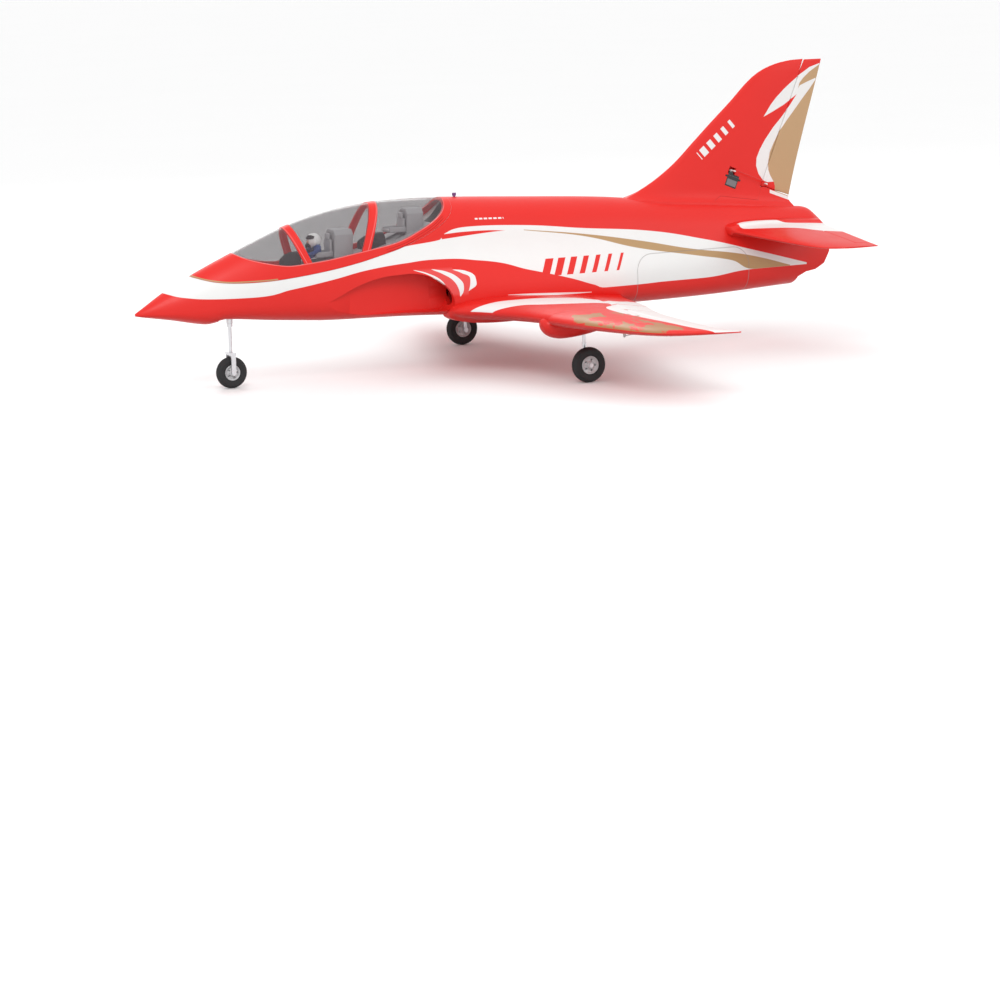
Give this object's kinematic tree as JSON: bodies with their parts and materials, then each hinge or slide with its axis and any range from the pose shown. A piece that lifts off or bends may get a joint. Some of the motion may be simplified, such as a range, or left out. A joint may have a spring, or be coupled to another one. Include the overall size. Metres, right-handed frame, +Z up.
{
  "type": "ducted-fan radio-controlled jet",
  "caption": "Foam ducted-fan model jet with tandem cockpit, clear canopy, single fin, hinged control surfaces worked by servo rods, and retracting tricycle gear.",
  "frame": {"origin": "On the ground under the middle of the length and span, with the wheels down and touching at Z = 0", "axes": "+X runs aft from nose to tail, +Y is the aircraft's right (starboard) side, +Z is up; the fuselage line is level"},
  "size_m": [1.3122, 1.18, 0.5089],
  "materials": {
    "shell_red": "satin painted foam",
    "surface_tan": "satin painted foam",
    "glass": "clear, grey tint",
    "cockpit_grey": "matte",
    "panel_black": "matte",
    "pilot": "matte painted",
    "duct": "matte",
    "fan_plastic": "satin black",
    "motor": "anodised",
    "battery": "shrink wrap",
    "plywood": "bare ply",
    "electronics": "matte case",
    "servo": "satin case",
    "arm_white": "nylon",
    "rod_red": "painted wire",
    "rod_steel": "bright wire",
    "carbon": "woven tube",
    "latch": "moulded",
    "strut": "machined",
    "hub": "satin silver",
    "tyre": "matte rubber",
    "unit": "moulded"
  },
  "bodies": {
    "airframe": {"fuselage": "shell_red", "intake_ducts": "duct", "fan_housing": "fan_plastic", "fan_motor": "motor", "exhaust_duct": "duct", "battery": "battery", "battery_tray": "plywood", "speed_controller": "electronics", "receiver": "electronics", "fin": "shell_red", "rudder_servo": "servo", "stabiliser_left": "shell_red", "stabiliser_right": "shell_red", "elevator_servos": "servo", "wing_left": "shell_red", "wing_right": "shell_red", "wing_joiners": "carbon", "wing_servos": "servo", "retract_units": "unit"},
    "hatch": {"hatch_frame": "shell_red", "canopy_glass": "glass", "cockpit_tub": "cockpit_grey", "pilot": "pilot", "seats": "cockpit_grey", "instrument_panels": "panel_black"},
    "latch": {"hatch_latch": "latch"},
    "fan": {"fan_rotor": "fan_plastic"},
    "rudder": {"rudder": "surface_tan"},
    "rudder_arm": {"rudder_servo_arm": "arm_white"},
    "rudder_rod": {"rudder_pushrod": "rod_red"},
    "elevator_left": {"elevator_left": "shell_red"},
    "elevator_arm_left": {"elevator_arm_left": "arm_white"},
    "elevator_rod_left": {"elevator_pushrod_left": "rod_steel"},
    "elevator_right": {"elevator_right": "shell_red"},
    "elevator_arm_right": {"elevator_arm_right": "arm_white"},
    "elevator_rod_right": {"elevator_pushrod_right": "rod_steel"},
    "aileron_left": {"aileron_left": "shell_red"},
    "aileron_arm_left": {"aileron_arm_left": "arm_white"},
    "aileron_rod_left": {"aileron_pushrod_left": "rod_steel"},
    "aileron_right": {"aileron_right": "shell_red"},
    "aileron_arm_right": {"aileron_arm_right": "arm_white"},
    "aileron_rod_right": {"aileron_pushrod_right": "rod_steel"},
    "flap_left": {"flap_left": "shell_red"},
    "flap_arm_left": {"flap_arm_left": "arm_white"},
    "flap_rod_left": {"flap_pushrod_left": "rod_steel"},
    "flap_right": {"flap_right": "shell_red"},
    "flap_arm_right": {"flap_arm_right": "arm_white"},
    "flap_rod_right": {"flap_pushrod_right": "rod_steel"},
    "nose_trunnion": {"nose_trunnion": "strut"},
    "nose_fork": {"nose_fork": "strut"},
    "nose_wheel": {"nose_hub": "hub", "nose_tyre": "tyre"},
    "main_leg_left": {"main_leg_left": "strut"},
    "main_leg_right": {"main_leg_right": "strut"},
    "main_wheel_left": {"main_hub_left": "hub", "main_tyre_left": "tyre"},
    "main_wheel_right": {"main_hub_right": "hub", "main_tyre_right": "tyre"}
  },
  "joints": [
    {"name": "hatch_lift", "type": "slide", "parent": "airframe", "child": "hatch", "axis": [0, 0, 1], "range_m": [0, 0.12]},
    {"name": "latch_slide", "type": "slide", "parent": "airframe", "child": "latch", "axis": [1, 0, 0], "range_m": [0, 0.006], "stiffness_N_per_m": 300},
    {"name": "fan_spin", "type": "hinge", "parent": "airframe", "child": "fan", "pos_m": [0.1555, 0, 0.146], "axis": [1, 0, 0], "continuous": true},
    {"name": "rudder_swing", "type": "hinge", "parent": "airframe", "child": "rudder", "pos_m": [0.53381, 0, 0.289], "axis": [0.3746, 0, 0.9272], "range_deg": [-25, 25]},
    {"name": "rudder_arm_turn", "type": "hinge", "parent": "airframe", "child": "rudder_arm", "pos_m": [0.46798, -0.003, 0.3156], "axis": [0.3746, 0, 0.9272], "range_deg": [-25, 25]},
    {"name": "rudder_rod_turn", "type": "hinge", "parent": "rudder_arm", "child": "rudder_rod", "pos_m": [0.46798, -0.017, 0.3156], "axis": [0.3746, 0, 0.9272], "range_deg": [-25, 25]},
    {"name": "elevator_left_pitch", "type": "hinge", "parent": "airframe", "child": "elevator_left", "pos_m": [0.59204, -0.07337, 0.21034], "axis": [-0.0957, 0.9869, 0.1299], "range_deg": [-20, 20]},
    {"name": "elevator_arm_left_turn", "type": "hinge", "parent": "airframe", "child": "elevator_arm_left", "pos_m": [0.5144, -0.08057, 0.20788], "axis": [-0.0957, 0.9869, 0.1299], "range_deg": [-20, 20]},
    {"name": "elevator_rod_left_turn", "type": "hinge", "parent": "elevator_arm_left", "child": "elevator_rod_left", "pos_m": [0.5144, -0.07888, 0.19499], "axis": [-0.0957, 0.9869, 0.1299], "range_deg": [-20, 20]},
    {"name": "elevator_right_pitch", "type": "hinge", "parent": "airframe", "child": "elevator_right", "pos_m": [0.59204, 0.07337, 0.21034], "axis": [0.0957, 0.9869, -0.1299], "range_deg": [-20, 20]},
    {"name": "elevator_arm_right_turn", "type": "hinge", "parent": "airframe", "child": "elevator_arm_right", "pos_m": [0.5144, 0.08057, 0.20788], "axis": [0.0957, 0.9869, -0.1299], "range_deg": [-20, 20]},
    {"name": "elevator_rod_right_turn", "type": "hinge", "parent": "elevator_arm_right", "child": "elevator_rod_right", "pos_m": [0.5144, 0.07888, 0.19499], "axis": [0.0957, 0.9869, -0.1299], "range_deg": [-20, 20]},
    {"name": "aileron_left_tilt", "type": "hinge", "parent": "airframe", "child": "aileron_left", "pos_m": [0.11378, -0.4, 0.113], "axis": [-0.0226, 0.9997, 0], "range_deg": [-20, 20]},
    {"name": "aileron_arm_left_turn", "type": "hinge", "parent": "airframe", "child": "aileron_arm_left", "pos_m": [0.0538, -0.40136, 0.108], "axis": [-0.0226, 0.9997, 0], "range_deg": [-20, 20]},
    {"name": "aileron_rod_left_turn", "type": "hinge", "parent": "aileron_arm_left", "child": "aileron_rod_left", "pos_m": [0.0538, -0.40136, 0.093], "axis": [-0.0226, 0.9997, 0], "range_deg": [-20, 20]},
    {"name": "aileron_right_tilt", "type": "hinge", "parent": "airframe", "child": "aileron_right", "pos_m": [0.11378, 0.4, 0.113], "axis": [0.0226, 0.9997, 0], "range_deg": [-20, 20]},
    {"name": "aileron_arm_right_turn", "type": "hinge", "parent": "airframe", "child": "aileron_arm_right", "pos_m": [0.0538, 0.40136, 0.108], "axis": [0.0226, 0.9997, 0], "range_deg": [-20, 20]},
    {"name": "aileron_rod_right_turn", "type": "hinge", "parent": "aileron_arm_right", "child": "aileron_rod_right", "pos_m": [0.0538, 0.40136, 0.093], "axis": [0.0226, 0.9997, 0], "range_deg": [-20, 20]},
    {"name": "flap_left_lower", "type": "hinge", "parent": "airframe", "child": "flap_left", "pos_m": [0.12261, -0.209, 0.113], "axis": [0.1266, 0.9919, 0], "range_deg": [0, 30]},
    {"name": "flap_arm_left_turn", "type": "hinge", "parent": "airframe", "child": "flap_arm_left", "pos_m": [0.07797, -0.2033, 0.104], "axis": [0.1266, 0.9919, 0], "range_deg": [0, 30]},
    {"name": "flap_rod_left_turn", "type": "hinge", "parent": "flap_arm_left", "child": "flap_rod_left", "pos_m": [0.07797, -0.2033, 0.088], "axis": [0.1266, 0.9919, 0], "range_deg": [-30, 0]},
    {"name": "flap_right_lower", "type": "hinge", "parent": "airframe", "child": "flap_right", "pos_m": [0.12261, 0.209, 0.113], "axis": [-0.1266, 0.9919, 0], "range_deg": [0, 30]},
    {"name": "flap_arm_right_turn", "type": "hinge", "parent": "airframe", "child": "flap_arm_right", "pos_m": [0.07797, 0.2033, 0.104], "axis": [-0.1266, 0.9919, 0], "range_deg": [0, 30]},
    {"name": "flap_rod_right_turn", "type": "hinge", "parent": "flap_arm_right", "child": "flap_rod_right", "pos_m": [0.07797, 0.2033, 0.088], "axis": [-0.1266, 0.9919, 0], "range_deg": [-30, 0]},
    {"name": "main_retract_left", "type": "hinge", "parent": "airframe", "child": "main_leg_left", "pos_m": [0.0495, -0.255, 0.12], "axis": [1, 0, 0], "range_deg": [0, 90]},
    {"name": "main_retract_right", "type": "hinge", "parent": "airframe", "child": "main_leg_right", "pos_m": [0.0495, 0.255, 0.12], "axis": [-1, 0, 0], "range_deg": [0, 90]},
    {"name": "nose_retract", "type": "hinge", "parent": "airframe", "child": "nose_trunnion", "pos_m": [-0.4915, 0, 0.139], "axis": [0, -1, 0], "range_deg": [0, 90]},
    {"name": "nose_steer", "type": "hinge", "parent": "nose_trunnion", "child": "nose_fork", "pos_m": [-0.4915, 0, 0.097], "axis": [0, 0, 1], "range_deg": [-30, 30]},
    {"name": "nose_wheel_spin", "type": "hinge", "parent": "nose_fork", "child": "nose_wheel", "pos_m": [-0.4915, 0, 0.027], "axis": [0, 1, 0], "continuous": true},
    {"name": "main_wheel_left_spin", "type": "hinge", "parent": "main_leg_left", "child": "main_wheel_left", "pos_m": [0.0495, -0.271, 0.03], "axis": [0, 1, 0], "continuous": true},
    {"name": "main_wheel_right_spin", "type": "hinge", "parent": "main_leg_right", "child": "main_wheel_right", "pos_m": [0.0495, 0.271, 0.03], "axis": [0, 1, 0], "continuous": true}
  ],
  "couplings": [
    {"joint": "rudder_arm_turn", "follows": "rudder_swing", "ratio": 1},
    {"joint": "rudder_rod_turn", "follows": "rudder_swing", "ratio": -1},
    {"joint": "elevator_arm_left_turn", "follows": "elevator_left_pitch", "ratio": 1},
    {"joint": "elevator_rod_left_turn", "follows": "elevator_left_pitch", "ratio": -1},
    {"joint": "elevator_right_pitch", "follows": "elevator_left_pitch", "ratio": 1},
    {"joint": "elevator_arm_right_turn", "follows": "elevator_left_pitch", "ratio": 1},
    {"joint": "elevator_rod_right_turn", "follows": "elevator_left_pitch", "ratio": -1},
    {"joint": "aileron_arm_left_turn", "follows": "aileron_left_tilt", "ratio": 1},
    {"joint": "aileron_rod_left_turn", "follows": "aileron_left_tilt", "ratio": -1},
    {"joint": "aileron_right_tilt", "follows": "aileron_left_tilt", "ratio": -1},
    {"joint": "aileron_arm_right_turn", "follows": "aileron_left_tilt", "ratio": -1},
    {"joint": "aileron_rod_right_turn", "follows": "aileron_left_tilt", "ratio": 1},
    {"joint": "flap_arm_left_turn", "follows": "flap_left_lower", "ratio": 1},
    {"joint": "flap_rod_left_turn", "follows": "flap_left_lower", "ratio": -1},
    {"joint": "flap_right_lower", "follows": "flap_left_lower", "ratio": 1},
    {"joint": "flap_arm_right_turn", "follows": "flap_left_lower", "ratio": 1},
    {"joint": "flap_rod_right_turn", "follows": "flap_left_lower", "ratio": -1},
    {"joint": "main_retract_right", "follows": "main_retract_left", "ratio": 1},
    {"joint": "nose_retract", "follows": "main_retract_left", "ratio": 1}
  ]
}
